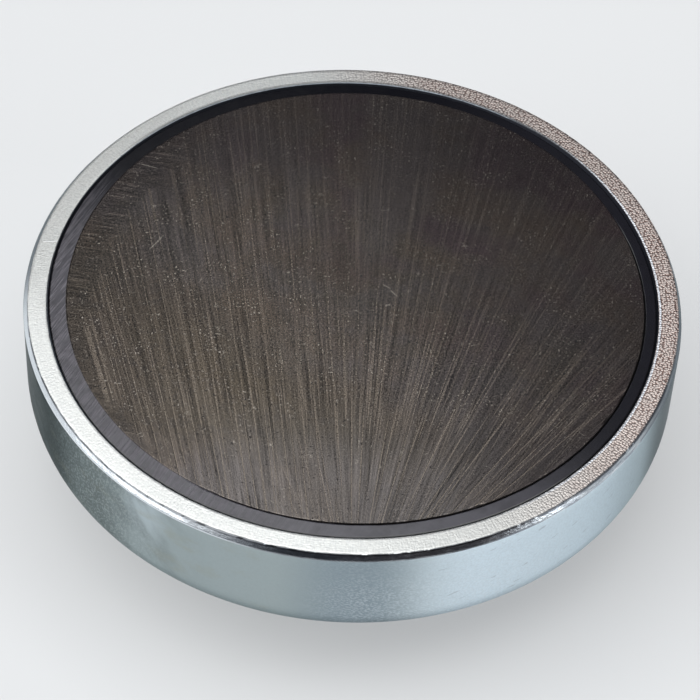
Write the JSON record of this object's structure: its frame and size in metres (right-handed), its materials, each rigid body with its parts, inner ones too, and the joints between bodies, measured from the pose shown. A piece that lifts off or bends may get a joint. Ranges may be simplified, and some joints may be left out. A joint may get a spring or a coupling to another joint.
{
  "type": "threaded stud pot magnet",
  "caption": "Flat round pot magnet: a zinc-plated steel cup around a ground ferrite disc set in dark potting, with a threaded stud on its back.",
  "frame": {"origin": "centre of the stud's flat end, which is the bottom of the part", "axes": "+Z along the stud's axis and out of the holding face; X and Y are any two directions across it"},
  "size_m": [0.05, 0.05, 0.016],
  "materials": {
    "pot": "satin",
    "magnet_disc": "satin",
    "potting_ring": "satin",
    "threaded_stud": "satin"
  },
  "bodies": {
    "root": {"pot": "pot", "magnet_disc": "magnet_disc", "potting_ring": "potting_ring", "threaded_stud": "threaded_stud"}
  },
  "joints": []
}
